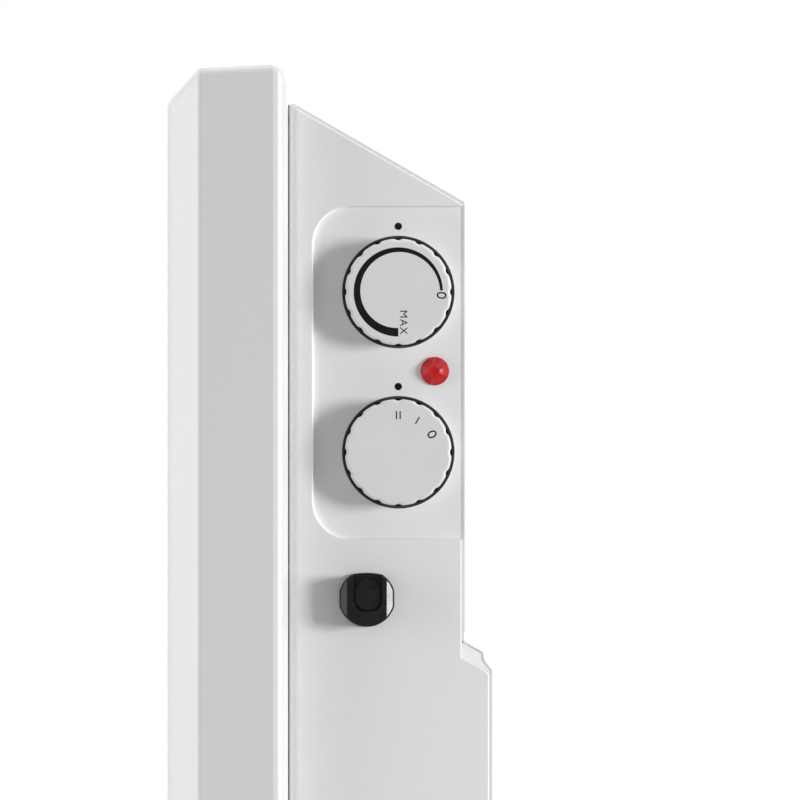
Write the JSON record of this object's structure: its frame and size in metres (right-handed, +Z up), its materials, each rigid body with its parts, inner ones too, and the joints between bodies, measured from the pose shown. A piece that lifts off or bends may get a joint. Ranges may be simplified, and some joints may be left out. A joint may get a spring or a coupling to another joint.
{
  "type": "convector heater",
  "caption": "White free-standing electric convector heater with a bevelled front panel, a thermostat knob, a power selector knob and a lamp in its end, on feet.",
  "frame": {"origin": "on the floor, at the middle of the box round the whole heater", "axes": "+Z up, front panel faces -Y, wall side faces +Y, control end faces +X"},
  "size_m": [0.595, 0.236, 0.438],
  "materials": {
    "panel_enamel": "satin white powder coat",
    "casing_enamel": "satin white powder coat",
    "side_moulding": "fine satin white moulding",
    "bare_sheet": "zinc-coated sheet",
    "heater_tube": "heat-tinted steel",
    "fin_sheet": "plain aluminium",
    "bush_ceramic": "unglazed",
    "plated_steel": "zinc plated",
    "black_plate": "matt black",
    "black_plastic": "matt",
    "pale_plastic": "matt",
    "knob_plastic": "fine satin grey-white moulding",
    "copper": "drawn copper",
    "brass": "turned brass",
    "red_lens": "clear red lens",
    "gland_black": "glossy black",
    "wire_brown": "wire sleeve",
    "wire_red": "wire sleeve",
    "wire_black": "wire sleeve",
    "wire_white": "glass-braid sleeve",
    "wire_blue": "wire sleeve",
    "wire_green": "wire sleeve",
    "foot_plastic": "satin white moulding",
    "pad_rubber": "matt black rubber"
  },
  "bodies": {
    "heater": {"front_panel": "panel_enamel", "rear_cover": "casing_enamel", "base_grille": "casing_enamel", "side_cover_right": "side_moulding", "side_cover_left": "side_moulding", "partition": "bare_sheet", "element_bracket": "bare_sheet", "bulb_clip": "bare_sheet", "element_tube": "heater_tube", "element_fins": "fin_sheet", "ceramic_bushes": "bush_ceramic", "element_pins": "plated_steel", "bracket_screws": "plated_steel", "thermostat_screws": "plated_steel", "selector_screws": "plated_steel", "rear_screws": "plated_steel", "base_screws": "plated_steel", "captive_nuts": "plated_steel", "control_bracket": "black_plate", "thermal_cutout": "black_plastic", "selector_body": "black_plastic", "foot_bolts": "black_plastic", "thermostat_body": "pale_plastic", "lamp_body": "pale_plastic", "terminal_block": "pale_plastic", "capillary_tube": "copper", "sensor_bulb": "copper", "terminal_screws": "brass", "earth_stud": "brass", "lamp_lens": "red_lens", "cable_gland": "gland_black", "gland_key": "gland_black", "live_wire": "wire_brown", "limiter_wire": "wire_red", "switched_wire": "wire_black", "heating_wire": "wire_white", "lamp_wire": "wire_white", "neutral_wire": "wire_blue", "earth_wire": "wire_green", "foot_left": "foot_plastic", "foot_right": "foot_plastic", "foot_pads": "pad_rubber"},
    "thermostat_dial": {"thermostat_knob": "knob_plastic", "thermostat_spindle": "plated_steel"},
    "selector_dial": {"selector_knob": "knob_plastic", "selector_spindle": "plated_steel"}
  },
  "joints": [
    {"name": "thermostat_turn", "type": "hinge", "parent": "heater", "child": "thermostat_dial", "pos_m": [0.28, 0.024, 0.3584], "axis": [1, 0, 0], "range_deg": [-178, 92]},
    {"name": "selector_turn", "type": "hinge", "parent": "heater", "child": "selector_dial", "pos_m": [0.28, 0.024, 0.3023], "axis": [1, 0, 0], "range_deg": [0, 60]}
  ]
}
